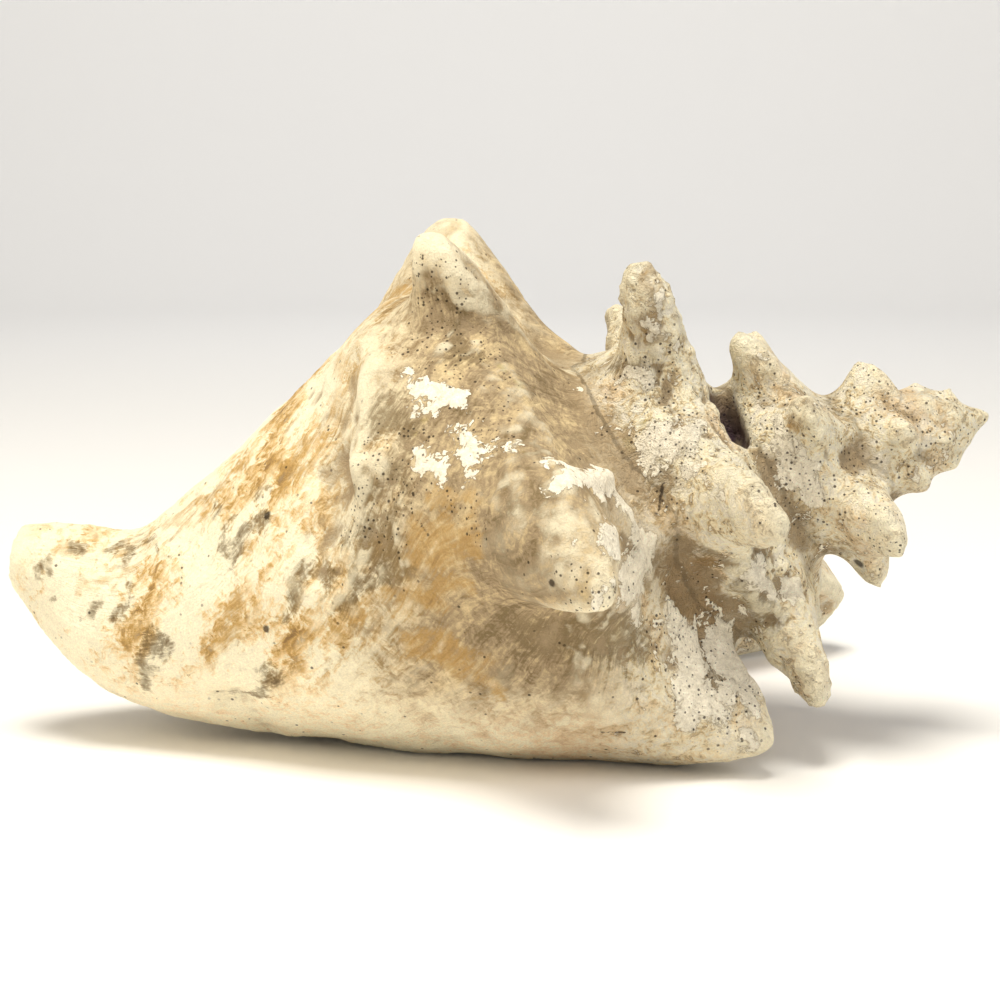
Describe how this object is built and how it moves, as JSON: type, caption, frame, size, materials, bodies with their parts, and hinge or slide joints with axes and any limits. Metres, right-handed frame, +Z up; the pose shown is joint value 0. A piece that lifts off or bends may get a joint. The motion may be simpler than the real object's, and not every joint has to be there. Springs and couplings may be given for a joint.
{
  "type": "queen conch shell",
  "caption": "Sea-worn queen conch shell lying on its mouth, with a knobbed conical spire, a broad flared lip, a hollow mouth and an upturned siphonal canal.",
  "frame": {"origin": "on the table, under the middle of the shell's bounding box", "axes": "+X along the length towards the tip of the spire, +Y towards the flared lip, +Z up"},
  "size_m": [0.226, 0.1876, 0.1203],
  "materials": {
    "shell": "chalky, sea-worn and stained"
  },
  "bodies": {
    "root": {"shell": "shell"}
  },
  "joints": []
}
